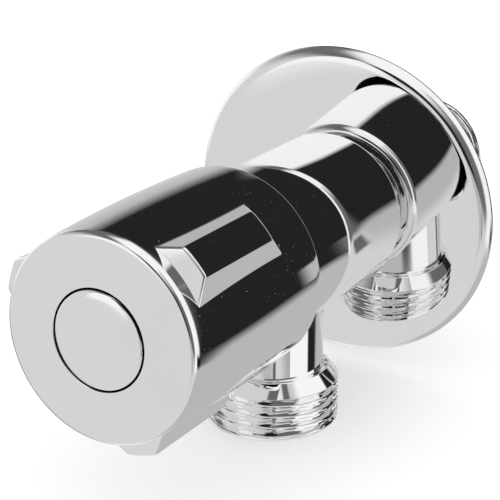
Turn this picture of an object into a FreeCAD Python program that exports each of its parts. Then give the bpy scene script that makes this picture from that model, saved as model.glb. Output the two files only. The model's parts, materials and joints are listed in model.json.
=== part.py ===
import FreeCAD, Part
import Sketcher
import math
import os
from types import SimpleNamespace

# Wall angle valve with a quarter-turn ceramic headwork.
#
# Every piece is drawn in the valve's own frame: Z runs forward along the valve axis, away from the
# wall, X is to the right and Y is up. The placement then turns Z to face the front (-Y of the
# finished part) and Y to point up (+Z). The origin is on the valve axis, in the plane of the wall that
# the flange's rim touches. The flange is loose on its stub, and it leans forward at the top.
# All lengths are millimetres and all angles are degrees.

doc = FreeCAD.newDocument("angle_valve")

# Driving dimensions

SIZES = {
    # G 1/2 pipe thread, used at the inlet and at the outlet
    "pipe_thread_d": 20.955,
    "pipe_thread_pitch": 1.814,
    "pipe_thread_lead": 1.0,
    # clearances
    "running_gap": 0.05,
    "fit_gap": 0.1,
    "thread_gap": 0.1,
    # wall flange
    "flange_d": 53.0,
    "flange_flare": 0.1,
    "flange_depth": 2.4,
    "flange_wall": 0.9,
    "flange_round": 2.0,
    "flange_bore_gap": 0.6,
    "flange_play": 2.3,
    "flange_lean": 4.7,
    # valve body
    "body_d": 25.8,
    "body_length": 36.2,
    "body_wall": 1.7,
    "body_lip": 0.4,
    "inlet_reach": 32.5,
    "inlet_bore_d": 13.0,
    "inlet_shank_inset": 0.28,
    "inlet_shank_place": 0.5,
    # outlet, below the body
    "outlet_setback": 19.4,
    "outlet_drop": 28.8,
    "outlet_neck_d": 16.0,
    "outlet_collar_step": 0.9,
    "outlet_collar_drop": 19.8,
    "outlet_collar_height": 2.0,
    "outlet_bore_d": 9.0,
    # water chamber, bored from the mouth of the body
    "headwork_depth": 26.5,
    "cage_bed_length": 4.5,
    "gallery_land": 1.0,
    # headwork thread, cut in the mouth of the body and round the bonnet
    "mouth_wall": 2.1,
    "bonnet_thread_pitch": 1.25,
    "bonnet_thread_length": 9.0,
    "bonnet_thread_inset": 1.0,
    # bonnet
    "cage_inset": 1.5,
    "cage_wall": 0.8,
    "cage_recess": 0.8,
    "window_width": 8.0,
    "window_length": 5.0,
    "bonnet_seal_height": 0.8,
    "bonnet_collar_inset": 0.4,
    "bonnet_collar_height": 1.2,
    "hex_corner_inset": 0.2,
    "hex_height": 3.3,
    "nose_d": 15.0,
    "nose_length": 3.7,
    "stop_height": 2.5,
    "stop_width": 1.8,
    "stop_start": 45.0,
    "quarter_turn": 90.0,
    "stop_gap_angle": 1.0,
    # seat gasket and ceramic discs
    "seat_gasket_height": 2.0,
    "disc_height": 3.0,
    "disc_rim": 1.5,
    "disc_hub_d": 4.4,
    "disc_port_angle": 80.0,
    "drive_slot_depth": 1.0,
    # spindle
    "spindle_d": 8.0,
    "drive_bar_width": 3.2,
    "drive_bar_height": 3.0,
    "drive_neck_d": 9.6,
    "drive_neck_length": 1.6,
    "thrust_collar_d": 13.0,
    "thrust_collar_height": 2.4,
    "thrust_washer_height": 0.8,
    "spindle_reach": 31.5,
    "ring_groove_depth": 1.3,
    "ring_groove_width": 1.6,
    "ring_groove_place": 4.0,
    "ring_groove_pitch": 5.0,
    "circlip_groove_depth": 0.7,
    "circlip_height": 0.8,
    "circlip_width": 1.9,
    "circlip_opening": 70.0,
    "circlip_gap": 0.3,
    "spline_setback": 0.3,
    "spline_depth": 0.35,
    "spline_groove_width": 0.7,
    "spline_count": 20,
    "tapped_hole_depth": 10.5,
    # stop ring on the spline
    "stop_ring_web": 0.8,
    "stop_ring_gap": 0.2,
    # handle
    "handle_length": 33.1,
    "skirt_gap": 0.7,
    "skirt_wall": 1.65,
    "skirt_lip": 0.3,
    "handle_taper": 0.45,
    "handle_bevel": 0.6,
    "cavity_taper": 0.6,
    "front_wall": 2.2,
    "lug_height": 2.4,
    "lug_root": 1.0,
    "lug_top_width": 4.8,
    "lug_base_width": 9.0,
    "lug_setback": 3.0,
    "lug_length": 22.1,
    "lug_ramp": 4.4,
    "lug_front_draft": 0.6,
    "lug_count": 3,
    "lug_turn": 42.5,
    "recess_d": 14.8,
    "recess_depth": 7.2,
    "web_height": 2.0,
    "hub_wall": 1.8,
    "hub_gap": 0.2,
    # spline insert
    "insert_wall": 2.2,
    "insert_recess": 0.3,
    "spindle_end_gap": 1.1,
    # handle screw
    "screw_d": 4.0,
    "screw_pitch": 0.7,
    "screw_length": 11.0,
    "screw_head_d": 7.0,
    "screw_head_height": 2.2,
    "screw_slot_width": 1.0,
    "screw_slot_span": 4.2,
    "screw_slot_depth": 1.2,
    "screw_hole_gap": 0.2,
    "washer_d": 7.6,
    "washer_height": 0.8,
    # index button
    "button_gap": 0.3,
    "button_proud": 0.3,
    "button_crown": 0.45,
    "button_rim": 1.1,
    "button_skirt_inset": 0.9,
    "button_skirt_wall": 1.4,
    "button_skirt_length": 3.3,
    "button_groove_depth": 0.4,
    "button_groove_width": 1.3,
    # silencer screen round the bonnet's windows
    "screen_wall": 0.6,
    "screen_end_gap": 0.4,
    "screen_slot": 2.0,
    "screen_slot_pitch": 3.0,
    "screen_columns": 12,
    # inlet strainer
    "strainer_step": 1.1,
    "strainer_sink": 0.2,
    "strainer_ring_height": 2.0,
    "strainer_ring_width": 1.9,
    "mesh_height": 0.4,
    "mesh_place": 0.8,
    "mesh_hole_d": 0.9,
    "mesh_pitch": 1.25,
}

# Thread forms, as shares of the pitch: depth, crest flat and root flat
PIPE_FORM = (0.6403, 1 / 6, 1 / 6)
METRIC_FORM = (0.5413, 1 / 8, 1 / 4)
METRIC_NUT_FORM = (0.5413, 1 / 4, 1 / 8)


class Size:
    """A length or angle that knows its value and the sheet expression it comes from."""

    def __init__(self, value, text):
        self.value = value
        self.text = text

    @staticmethod
    def wrap(other):
        return other if isinstance(other, Size) else Size(other, repr(other))

    def join(self, other, value, sign):
        return Size(value, "(" + self.text + sign + other.text + ")")

    def __add__(self, other):
        other = Size.wrap(other)
        return self.join(other, self.value + other.value, " + ")

    def __sub__(self, other):
        other = Size.wrap(other)
        return self.join(other, self.value - other.value, " - ")

    def __mul__(self, other):
        other = Size.wrap(other)
        return self.join(other, self.value * other.value, " * ")

    def __truediv__(self, other):
        other = Size.wrap(other)
        return self.join(other, self.value / other.value, " / ")

    def __neg__(self):
        return Size(-self.value, "(0 - " + self.text + ")")


def make_sheet():
    """Write the driving dimensions in a sheet, one alias a row, and return them as sizes."""
    sheet = doc.addObject("Spreadsheet::Sheet", "sizes")
    sizes = {}
    for row, (name, value) in enumerate(SIZES.items(), start=1):
        sheet.set("A" + str(row), name)
        sheet.set("B" + str(row), str(value))
        sheet.setAlias("B" + str(row), name)
        sizes[name] = Size(value, "sizes." + name)
    doc.recompute()
    return SimpleNamespace(**sizes)


def sine(angle):
    """Give the sine of an angle of the sheet."""
    return Size(math.sin(math.radians(angle.value)), "sin(" + angle.text + ")")


d = make_sheet()
ZERO = Size(0.0, "0")

# Radii shared by mating pieces

rim_r = d.flange_d / 2
pipe_r = d.pipe_thread_d / 2
body_r = d.body_d / 2
gallery_r = body_r - d.body_wall
bonnet_thread_r = body_r - d.mouth_wall
mouth_r = bonnet_thread_r - d.bonnet_thread_pitch * METRIC_FORM[0] + d.thread_gap
cage_r = bonnet_thread_r - d.cage_inset
cage_bore_r = cage_r - d.cage_wall
disc_r = cage_bore_r - d.fit_gap
port_r = disc_r - d.disc_rim
bonnet_collar_r = body_r - d.bonnet_collar_inset
nose_r = d.nose_d / 2
stop_inner_r = nose_r - d.stop_width
spindle_r = d.spindle_d / 2
circlip_groove_r = spindle_r - d.circlip_groove_depth
skirt_bore_r = body_r + d.skirt_gap
handle_rear_r = skirt_bore_r + d.skirt_wall
handle_front_r = handle_rear_r - d.handle_taper
lug_r = handle_rear_r + d.lug_height
recess_r = d.recess_d / 2
button_skirt_r = recess_r - d.button_skirt_inset
button_groove_r = button_skirt_r - d.button_groove_depth
screw_r = d.screw_d / 2
insert_flat_r = spindle_r + d.insert_wall
inlet_r = d.inlet_bore_d / 2
strainer_seat_r = inlet_r + d.strainer_step
strainer_r = strainer_seat_r - d.fit_gap
strainer_window_r = strainer_r - d.strainer_ring_width

# Places along the valve axis, measured forward from the wall

flange_lift = rim_r * sine(d.flange_lean)
inlet_end = -d.inlet_reach
strainer_seat = inlet_end + d.strainer_sink + d.strainer_ring_height
shoulder = flange_lift + d.flange_depth + d.flange_play
outlet_place = shoulder + d.outlet_setback
body_front = shoulder + d.body_length
seat_place = body_front - d.headwork_depth
thread_rear = body_front - d.bonnet_thread_inset - d.bonnet_thread_length
cage_rear = seat_place + d.cage_recess
gallery_rear = seat_place + d.cage_bed_length
gallery_front = thread_rear - d.gallery_land
gasket_front = seat_place + d.seat_gasket_height
fixed_disc_front = gasket_front + d.disc_height
moving_disc_front = fixed_disc_front + d.disc_height
drive_bar_rear = moving_disc_front - d.drive_slot_depth
drive_bar_front = drive_bar_rear + d.drive_bar_height
thrust_rear = drive_bar_front + d.drive_neck_length
thrust_front = thrust_rear + d.thrust_collar_height
bonnet_shoulder = thrust_front + d.thrust_washer_height + d.fit_gap
spindle_front = thrust_front + d.spindle_reach
first_groove = bonnet_shoulder + d.ring_groove_place
collar_rear = body_front + d.bonnet_seal_height
hex_rear = collar_rear + d.bonnet_collar_height
nose_rear = hex_rear + d.hex_height
nose_front = nose_rear + d.nose_length
circlip_rear = nose_front + d.circlip_gap
circlip_front = circlip_rear + d.circlip_height
stop_tooth_rear = nose_front + d.stop_ring_gap
stop_ring_front = stop_tooth_rear + d.stop_height + d.stop_ring_web
hub_rear = stop_ring_front + d.hub_gap
web_rear = spindle_front + d.spindle_end_gap
recess_floor = web_rear + d.web_height
handle_front = recess_floor + d.recess_depth
handle_rear = handle_front - d.handle_length
button_rear = handle_front + d.button_proud - d.button_rim - d.button_skirt_length
button_groove_front = button_rear + d.button_skirt_length - d.button_groove_width


# Drawing helpers

def bind(thing, prop, size):
    """Tie a property of a document object to the sheet."""
    thing.setExpression(prop, size.text)


def new_body(name):
    """Make an empty body for one piece."""
    body = doc.addObject("PartDesign::Body", name)
    body.Label = name
    return body


def origin_item(body, role):
    """Find one of a body's own origin planes or axes."""
    for item in body.Origin.OriginFeatures:
        if item.Role == role:
            return item
    raise ValueError(role)


def new_sketch(body, name, role="XZ_Plane", lift=None, downward=False):
    """Attach a sketch to an origin plane; lift moves it off the plane, downward turns its Y to -Y."""
    sketch = body.newObject("Sketcher::SketchObject", name)
    sketch.AttachmentSupport = [(origin_item(body, role), "")]
    sketch.MapMode = "FlatFace"
    turn = FreeCAD.Rotation(FreeCAD.Vector(1, 0, 0), 180 if downward else 0)
    sketch.AttachmentOffset = FreeCAD.Placement(FreeCAD.Vector(0, 0, 0), turn)
    if lift is not None:
        bind(sketch, "AttachmentOffset.Base.z", lift)
    return sketch


def fix_point(sketch, line, end, across, along):
    """Fix one end of a line at its distance across and along the sketch."""
    for kind, axis, size in (("DistanceX", -2, across), ("DistanceY", -1, along)):
        if size.value == 0 and size.text == "0":
            sketch.addConstraint(Sketcher.Constraint("PointOnObject", line, end, axis))
            continue
        sketch.addConstraint(Sketcher.Constraint(kind, -1, 1, line, end, size.value))
        sketch.setExpression("Constraints[%d]" % (sketch.ConstraintCount - 1), size.text)


def outline(sketch, points):
    """Draw a closed outline through its corners, each given as a size across and a size along."""
    corners = [FreeCAD.Vector(across.value, along.value, 0) for across, along in points]
    count = len(points)
    for index in range(count):
        sketch.addGeometry(Part.LineSegment(corners[index], corners[(index + 1) % count]))
    for index in range(count):
        sketch.addConstraint(Sketcher.Constraint("Coincident", index, 2, (index + 1) % count, 1))
    for index, (across, along) in enumerate(points):
        fix_point(sketch, index, 1, across, along)
    return sketch


def circle(sketch, radius, across=ZERO):
    """Draw a circle on the sketch's X axis."""
    centre = FreeCAD.Vector(across.value, 0, 0)
    index = sketch.addGeometry(Part.Circle(centre, FreeCAD.Vector(0, 0, 1), radius.value))
    sketch.addConstraint(Sketcher.Constraint("Radius", index, radius.value))
    sketch.setExpression("Constraints[%d]" % (sketch.ConstraintCount - 1), radius.text)
    fix_point(sketch, index, 3, across, ZERO)
    return sketch


def turned(body, kind, sketch, name):
    """Turn a sketch round its own Y axis, adding or cutting."""
    feature = body.newObject("PartDesign::" + kind, name)
    feature.Profile = sketch
    feature.ReferenceAxis = (sketch, ["V_Axis"])
    feature.Angle = 360
    doc.recompute()
    return feature


def turn_solid(body, name, points, **where):
    """Add a turned solid to a body."""
    return turned(body, "Revolution", outline(new_sketch(body, name + "_outline", **where), points), name)


def turn_cut(body, name, points, **where):
    """Cut a turned hollow out of a body, and check that it removed something."""
    before = body.Shape.Volume
    cut = turned(body, "Groove", outline(new_sketch(body, name + "_outline", **where), points), name)
    if not body.Shape.Volume < before:
        raise ValueError(name + " cuts nothing")
    return cut


def steps(*pairs):
    """Close a stepped outline against the axis; pairs are radius and place, from rear to front."""
    return [(ZERO, pairs[0][1])] + list(pairs) + [(ZERO, pairs[-1][1])]


def repeat_along(body, feature, sketch, name, pitch, count):
    """Repeat a feature along the Y axis of its sketch."""
    pattern = body.newObject("PartDesign::LinearPattern", name)
    pattern.Originals = [feature]
    pattern.Direction = (sketch, ["V_Axis"])
    pattern.Occurrences = count
    bind(pattern, "Length", pitch * (count - 1))
    body.Tip = pattern
    doc.recompute()
    return pattern


def repeat_round(body, feature, name, count):
    """Repeat a feature evenly round the body's Z axis."""
    pattern = body.newObject("PartDesign::PolarPattern", name)
    pattern.Originals = [feature]
    pattern.Axis = (origin_item(body, "Z_Axis"), [""])
    pattern.Angle = 360
    pattern.Occurrences = count
    body.Tip = pattern
    doc.recompute()
    return pattern


def ridges(length, pitch):
    """Count the whole pitches in a threaded length."""
    return int(length.value / pitch.value + 1e-6)


def ring_thread(body, name, surface_r, form, pitch, first, count, side=1, **where):
    """Cut a row of thread grooves; first is the middle of the first one, side -1 cuts outward."""
    depth, crest, root = (pitch * share for share in form)
    mouth = pitch - crest
    over = depth / 10
    reach = mouth + (mouth - root) / 10
    points = [
        (surface_r + over * side, first - reach / 2),
        (surface_r + over * side, first + reach / 2),
        (surface_r - depth * side, first + root / 2),
        (surface_r - depth * side, first - root / 2),
    ]
    sketch = outline(new_sketch(body, name + "_outline", **where), points)
    groove = turned(body, "Groove", sketch, name)
    return repeat_along(body, groove, sketch, name + "_row", pitch, count)


def edges_at(body, radius, place, axis=FreeCAD.Vector(0, 0, 1)):
    """Name the circular edges of a body with this radius at this place along its axis."""
    names = []
    for number, edge in enumerate(body.Shape.Edges, start=1):
        curve = edge.Curve
        if not isinstance(curve, Part.Circle):
            continue
        if abs(curve.Radius - radius) < 1e-4 and abs(curve.Center.dot(axis) - place) < 1e-4:
            names.append("Edge%d" % number)
    return names


def round_edges(body, name, radius, edges, kind="Fillet"):
    """Round or bevel edges of the last feature."""
    base = body.Tip
    feature = body.newObject("PartDesign::" + kind, name)
    feature.Base = (base, edges)
    bind(feature, "Radius" if kind == "Fillet" else "Size", radius)
    doc.recompute()
    return feature


def pad(body, sketch, name, length):
    """Pad a sketch along its normal."""
    feature = body.newObject("PartDesign::Pad", name)
    feature.Profile = sketch
    bind(feature, "Length", length)
    doc.recompute()
    return feature


def turn_about_axis(thing, angle):
    """Turn a primitive round the valve axis by an angle from the sheet."""
    thing.Placement = FreeCAD.Placement(
        FreeCAD.Vector(0, 0, 0), FreeCAD.Rotation(FreeCAD.Vector(0, 0, 1), angle.value))
    bind(thing, "Placement.Rotation.Angle", angle)


def primitive(body, kind, name, sizes, base=None, turn=None):
    """Add or cut a primitive in a body; sizes and base places are tied to the sheet."""
    feature = body.newObject("PartDesign::" + kind, name)
    if turn is not None:
        turn_about_axis(feature, turn)
    for prop, size in sizes.items():
        bind(feature, prop, size)
    for letter, size in (base or {}).items():
        bind(feature, "Placement.Base." + letter, size)
    doc.recompute()
    return feature


def cut_cross(body, name, span, width, height, place):
    """Cut two crossed slots through the axis."""
    for suffix, sides in (("_across", (span, width)), ("_upright", (width, span))):
        primitive(body, "SubtractiveBox", name + suffix, {
            "Length": sides[0],
            "Width": sides[1],
            "Height": height,
        }, {"x": -sides[0] / 2, "y": -sides[1] / 2, "z": place})


def cylinder(name, radius, height, place=ZERO, angle=None, turn=None):
    """Make a cylinder, or a sector of one, along the valve axis."""
    solid = doc.addObject("Part::Cylinder", name)
    bind(solid, "Radius", radius)
    bind(solid, "Height", height)
    if angle is not None:
        bind(solid, "Angle", angle)
    if turn is not None:
        turn_about_axis(solid, turn)
    bind(solid, "Placement.Base.z", place)
    return solid


def cut(name, base, tool):
    """Cut one solid out of another."""
    result = doc.addObject("Part::Cut", name)
    result.Base = base
    result.Tool = tool
    return result


def fuse(name, *shapes):
    """Join solids."""
    result = doc.addObject("Part::MultiFuse", name)
    result.Shapes = list(shapes)
    return result


def named(piece, label):
    """Give a finished piece the name of its file."""
    piece.Label = label
    return piece


def tube(name, outer_r, inner_r, height):
    """Make a plain ring."""
    blank = cylinder(name + "_blank", outer_r, height)
    return named(cut(name, blank, cylinder(name + "_bore", inner_r, height)), name)


NODES = []


def seat(piece, place=ZERO, turn=None, lean=None):
    """Lay a finished piece on the valve axis, with its own origin at this place from the wall."""
    onto_axis = FreeCAD.Rotation(FreeCAD.Vector(1, 0, 0), 90)
    if turn is not None:
        onto_axis = onto_axis.multiply(FreeCAD.Rotation(FreeCAD.Vector(0, 0, 1), turn))
    piece.Placement = FreeCAD.Placement(FreeCAD.Vector(0, 0, 0), onto_axis)
    bind(piece, "Placement.Base.y", -place)
    if lean is not None:
        bind(piece, "Placement.Rotation.Angle", lean + 90)
    NODES.append(piece)
    return piece


# Valve body: inlet stub, barrel and outlet in one brass forging

def make_valve_body():
    body = new_body("valve_body")
    inlet_thread_rear = inlet_end + d.pipe_thread_lead
    shank_r = pipe_r - d.inlet_shank_inset
    turn_solid(body, "barrel", steps(
        (pipe_r - d.pipe_thread_lead, inlet_end),
        (pipe_r, inlet_thread_rear),
        (pipe_r, d.inlet_shank_place),
        (shank_r, d.inlet_shank_place),
        (shank_r, shoulder),
        (body_r, shoulder),
        (body_r, body_front),
    ))
    rear_round = (body_r - shank_r) / 2
    round_edges(body, "rear_round", rear_round, edges_at(body, body_r.value, shoulder.value))
    round_edges(body, "front_bevel", d.body_lip, edges_at(body, body_r.value, body_front.value), "Chamfer")
    neck_r = d.outlet_neck_d / 2
    collar_foot = d.outlet_collar_drop + d.outlet_collar_height
    outlet_lead = d.pipe_thread_lead / 2
    from_axis = {"role": "XY_Plane", "lift": outlet_place, "downward": True}
    turn_solid(body, "outlet", steps(
        (neck_r, ZERO),
        (neck_r, d.outlet_collar_drop),
        (neck_r + d.outlet_collar_step, d.outlet_collar_drop),
        (pipe_r, collar_foot),
        (pipe_r, d.outlet_drop - outlet_lead),
        (pipe_r - outlet_lead, d.outlet_drop),
    ), **from_axis)
    pitch = d.pipe_thread_pitch
    ring_thread(body, "inlet_thread", pipe_r, PIPE_FORM, pitch, inlet_thread_rear + pitch / 2,
                ridges(d.inlet_shank_place - inlet_thread_rear, pitch))
    ring_thread(body, "outlet_thread", pipe_r, PIPE_FORM, pitch, collar_foot + pitch / 2,
                ridges(d.outlet_drop - collar_foot, pitch), **from_axis)
    bed_r = cage_r + d.fit_gap
    turn_cut(body, "waterway", steps(
        (strainer_seat_r, inlet_end),
        (strainer_seat_r, strainer_seat),
        (inlet_r, strainer_seat),
        (inlet_r, seat_place),
        (bed_r, seat_place),
        (bed_r, gallery_rear),
        (gallery_r, gallery_rear),
        (gallery_r, gallery_front),
        (mouth_r, gallery_front),
        (mouth_r, body_front),
    ))
    outlet_bore_r = d.outlet_bore_d / 2
    turn_cut(body, "outlet_bore", steps((outlet_bore_r, ZERO), (outlet_bore_r, d.outlet_drop)), **from_axis)
    pitch = d.bonnet_thread_pitch
    ring_thread(body, "mouth_thread", mouth_r, METRIC_NUT_FORM, pitch, bonnet_ridge,
                bonnet_grooves + 1, -1)
    seat(body)


# Wall flange: stamped shell with a rolled rim, loose on the inlet stub

def make_wall_flange():
    body = new_body("wall_flange")
    bore_r = pipe_r + d.flange_bore_gap
    shoulder_r = rim_r - d.flange_flare
    inner_depth = d.flange_depth - d.flange_wall
    inner_r = shoulder_r - d.flange_wall
    turn_solid(body, "shell", [
        (bore_r, inner_depth),
        (inner_r, inner_depth),
        (rim_r - d.flange_wall, ZERO),
        (rim_r, ZERO),
        (shoulder_r, d.flange_depth),
        (bore_r, d.flange_depth),
    ])
    round_edges(body, "rim_roll", d.flange_round, edges_at(body, shoulder_r.value, d.flange_depth.value))
    round_edges(body, "inner_roll", d.flange_round - d.flange_wall,
                edges_at(body, inner_r.value, inner_depth.value))
    seat(body, flange_lift, lean=d.flange_lean)


# Bonnet: threaded headwork housing with a cage for the discs

bonnet_ridge = thread_rear + d.bonnet_thread_pitch * METRIC_FORM[1] / 2
bonnet_grooves = ridges(d.bonnet_thread_length, d.bonnet_thread_pitch)


def make_bonnet():
    body = new_body("bonnet_housing")
    pitch = d.bonnet_thread_pitch
    root_r = bonnet_thread_r - pitch * METRIC_FORM[0]
    thread_front = bonnet_ridge + pitch * (bonnet_grooves + METRIC_FORM[1] / 2)
    turn_solid(body, "turned_blank", steps(
        (cage_r, cage_rear),
        (cage_r, gallery_front),
        (root_r, gallery_front),
        (root_r, thread_rear),
        (bonnet_thread_r, thread_rear),
        (bonnet_thread_r, thread_front),
        (root_r, thread_front),
        (root_r, collar_rear),
        (bonnet_collar_r, collar_rear),
        (bonnet_collar_r, hex_rear),
        (nose_r, hex_rear),
        (nose_r, nose_front),
    ))
    primitive(body, "AdditivePrism", "spanner_hex", {
        "Circumradius": body_r - d.hex_corner_inset,
        "Height": d.hex_height,
    }, {"z": hex_rear})
    primitive(body, "AdditiveCylinder", "travel_stop", {
        "Radius": nose_r,
        "Height": d.stop_height,
        "Angle": d.quarter_turn,
    }, {"z": nose_front}, d.stop_start)
    ring_thread(body, "bonnet_thread", bonnet_thread_r, METRIC_FORM, pitch,
                bonnet_ridge + pitch / 2, bonnet_grooves)
    bore_r = spindle_r + d.running_gap
    turn_cut(body, "bores", steps(
        (cage_bore_r, cage_rear),
        (cage_bore_r, bonnet_shoulder),
        (bore_r, bonnet_shoulder),
        (bore_r, nose_front),
        (stop_inner_r, nose_front),
        (stop_inner_r, nose_front + d.stop_height),
    ))
    cut_cross(body, "windows", (cage_r + d.cage_wall) * 2, d.window_width, d.window_length, moving_disc_front)
    seat(body)


# Seals, discs and screens in the waterway

def make_seals():
    seat(tube("seat_gasket", disc_r, port_r, d.seat_gasket_height), seat_place)
    seal_bore_r = bonnet_thread_r + d.thread_gap
    seat(tube("bonnet_seal", bonnet_collar_r - d.fit_gap, seal_bore_r, d.bonnet_seal_height), body_front)


def ported_disc(name, first_port):
    """A ceramic disc with two opposite ports; the first port is centred on this angle."""
    sectors = []
    for number, middle in enumerate((first_port, first_port + d.quarter_turn * 2), start=1):
        sectors.append(cylinder(name + "_port_%d" % number, port_r, d.disc_height,
                                ZERO, d.disc_port_angle, middle - d.disc_port_angle / 2))
    hub = cylinder(name + "_hub", d.disc_hub_d / 2, d.disc_height)
    ports = cut(name + "_ports", fuse(name + "_sectors", *sectors), hub)
    return cut(name, cylinder(name + "_blank", disc_r, d.disc_height), ports)


def make_discs():
    fixed = named(ported_disc("fixed_disc", ZERO), "fixed_ceramic_disc")
    seat(fixed, gasket_front)
    slot_width = d.drive_bar_width + d.fit_gap * 2
    slot = doc.addObject("Part::Box", "moving_disc_slot")
    bind(slot, "Length", disc_r * 2)
    bind(slot, "Width", slot_width)
    bind(slot, "Height", d.drive_slot_depth)
    bind(slot, "Placement.Base.x", -disc_r)
    bind(slot, "Placement.Base.y", -slot_width / 2)
    bind(slot, "Placement.Base.z", d.disc_height - d.drive_slot_depth)
    moving = cut("moving_disc_slotted", ported_disc("moving_disc", d.quarter_turn), slot)
    seat(named(moving, "moving_ceramic_disc"), fixed_disc_front)


def make_silencer_screen():
    body = new_body("silencer_screen")
    inner_r = cage_r + d.fit_gap
    outer_r = inner_r + d.screen_wall
    length = gallery_front - gallery_rear - d.screen_end_gap * 2
    turn_solid(body, "screen_wall", [
        (inner_r, ZERO),
        (outer_r, ZERO),
        (outer_r, length),
        (inner_r, length),
    ])
    rows = ridges(length, d.screen_slot_pitch)
    first_slot = (length - d.screen_slot_pitch * (rows - 1) - d.screen_slot) / 2
    for row in range(rows):
        slot = primitive(body, "SubtractiveBox", "slot_%d" % (row + 1), {
            "Length": outer_r + d.screen_wall,
            "Width": d.screen_slot,
            "Height": d.screen_slot,
        }, {
            "y": -d.screen_slot / 2,
            "z": first_slot + d.screen_slot_pitch * row,
        })
        repeat_round(body, slot, "slots_%d" % (row + 1), SIZES["screen_columns"])
    seat(body, gallery_rear + d.screen_end_gap)


def make_strainer():
    ring_rear = strainer_seat - d.strainer_ring_height
    seat(tube("strainer_ring", strainer_r, strainer_window_r, d.strainer_ring_height), ring_rear)
    body = new_body("strainer_mesh")
    sheet = circle(new_sketch(body, "sheet_outline", "XY_Plane"), strainer_window_r)
    pad(body, sheet, "sheet", d.mesh_height)
    hole = {"Radius": d.mesh_hole_d / 2, "Height": d.mesh_height}
    primitive(body, "SubtractiveCylinder", "middle_hole", hole)
    rings = ridges(strainer_window_r - d.mesh_hole_d / 2, d.mesh_pitch)
    for ring in range(1, rings + 1):
        first = primitive(body, "SubtractiveCylinder", "hole_%d" % ring, hole, {"x": d.mesh_pitch * ring})
        repeat_round(body, first, "holes_%d" % ring, 6 * ring)
    seat(body, ring_rear + d.mesh_place)


# Spindle group: everything that turns with the handle inside the bonnet

def make_spindle():
    body = new_body("spindle")
    base = drive_bar_rear
    neck_r = d.drive_neck_d / 2
    thrust_r = d.thrust_collar_d / 2
    points = [
        (neck_r, drive_bar_front - base),
        (neck_r, thrust_rear - base),
        (thrust_r, thrust_rear - base),
        (thrust_r, thrust_front - base),
        (spindle_r, thrust_front - base),
    ]
    ring_groove_r = spindle_r - d.ring_groove_depth
    grooves = (
        (first_groove, ring_groove_r, d.ring_groove_width),
        (first_groove + d.ring_groove_pitch, ring_groove_r, d.ring_groove_width),
        (circlip_rear, circlip_groove_r, d.circlip_height),
    )
    for rear, floor_r, width in grooves:
        front = rear + width
        points += [(spindle_r, rear - base), (floor_r, rear - base)]
        points += [(floor_r, front - base), (spindle_r, front - base)]
    points.append((spindle_r, spindle_front - base))
    turn_solid(body, "shaft", steps(*points))
    bar_length = port_r * 2
    primitive(body, "AdditiveBox", "drive_bar", {
        "Length": bar_length,
        "Width": d.drive_bar_width,
        "Height": d.drive_bar_height,
    }, {"x": -bar_length / 2, "y": -d.drive_bar_width / 2})
    spline_rear = circlip_front + d.spline_setback
    flute = primitive(body, "SubtractiveBox", "spline_flute", {
        "Length": spindle_r,
        "Width": d.spline_groove_width,
        "Height": spindle_front - spline_rear,
    }, {
        "x": spindle_r - d.spline_depth,
        "y": -d.spline_groove_width / 2,
        "z": spline_rear - base,
    })
    repeat_round(body, flute, "spline_flutes", SIZES["spline_count"])
    primitive(body, "SubtractiveCylinder", "tapped_hole", {
        "Radius": screw_r + d.running_gap,
        "Height": d.tapped_hole_depth,
    }, {"z": spindle_front - d.tapped_hole_depth - base})
    seat(body, base)


def make_spindle_rings():
    """Two rings of round cord that fill the grooves of the spindle."""
    cord_r = (d.ring_groove_depth - d.running_gap) / 2
    rings = []
    for number in range(2):
        ring = doc.addObject("Part::Torus", "spindle_ring_%d" % (number + 1))
        bind(ring, "Radius1", spindle_r - cord_r)
        bind(ring, "Radius2", cord_r)
        bind(ring, "Placement.Base.z", d.ring_groove_width / 2 + d.ring_groove_pitch * number)
        rings.append(ring)
    pair = doc.addObject("Part::Compound", "spindle_ring_pair")
    pair.Links = rings
    seat(named(pair, "spindle_o_rings"), first_groove)


def make_thrust_washer():
    washer_bore_r = spindle_r + d.fit_gap
    seat(tube("thrust_washer", d.thrust_collar_d / 2, washer_bore_r, d.thrust_washer_height), thrust_front)


def make_circlip():
    inner_r = circlip_groove_r + d.running_gap
    outer_r = circlip_groove_r + d.circlip_width
    height = d.circlip_height - d.fit_gap
    mouth = cylinder("circlip_mouth", outer_r * 2, height, ZERO, d.circlip_opening)
    clip = cut("circlip_open", tube("circlip_ring", outer_r, inner_r, height), mouth)
    seat(named(clip, "spindle_circlip"), circlip_rear + d.fit_gap / 2)


def make_stop_ring():
    tooth_angle = d.quarter_turn * 2 - d.stop_gap_angle * 2
    tooth_turn = d.stop_start + d.quarter_turn + d.stop_gap_angle
    sector = cylinder("stop_tooth_sector", nose_r, d.stop_height, ZERO, tooth_angle, tooth_turn)
    tooth = cut("stop_tooth", sector, cylinder("stop_tooth_bore", stop_inner_r, d.stop_height))
    web = cylinder("stop_web", nose_r, d.stop_ring_web, d.stop_height)
    bore = cylinder("stop_bore", spindle_r + d.running_gap, d.stop_height + d.stop_ring_web)
    ring = cut("stop_ring", fuse("stop_blank", tooth, web), bore)
    seat(named(ring, "travel_stop_ring"), stop_tooth_rear)


# Handle group

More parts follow.
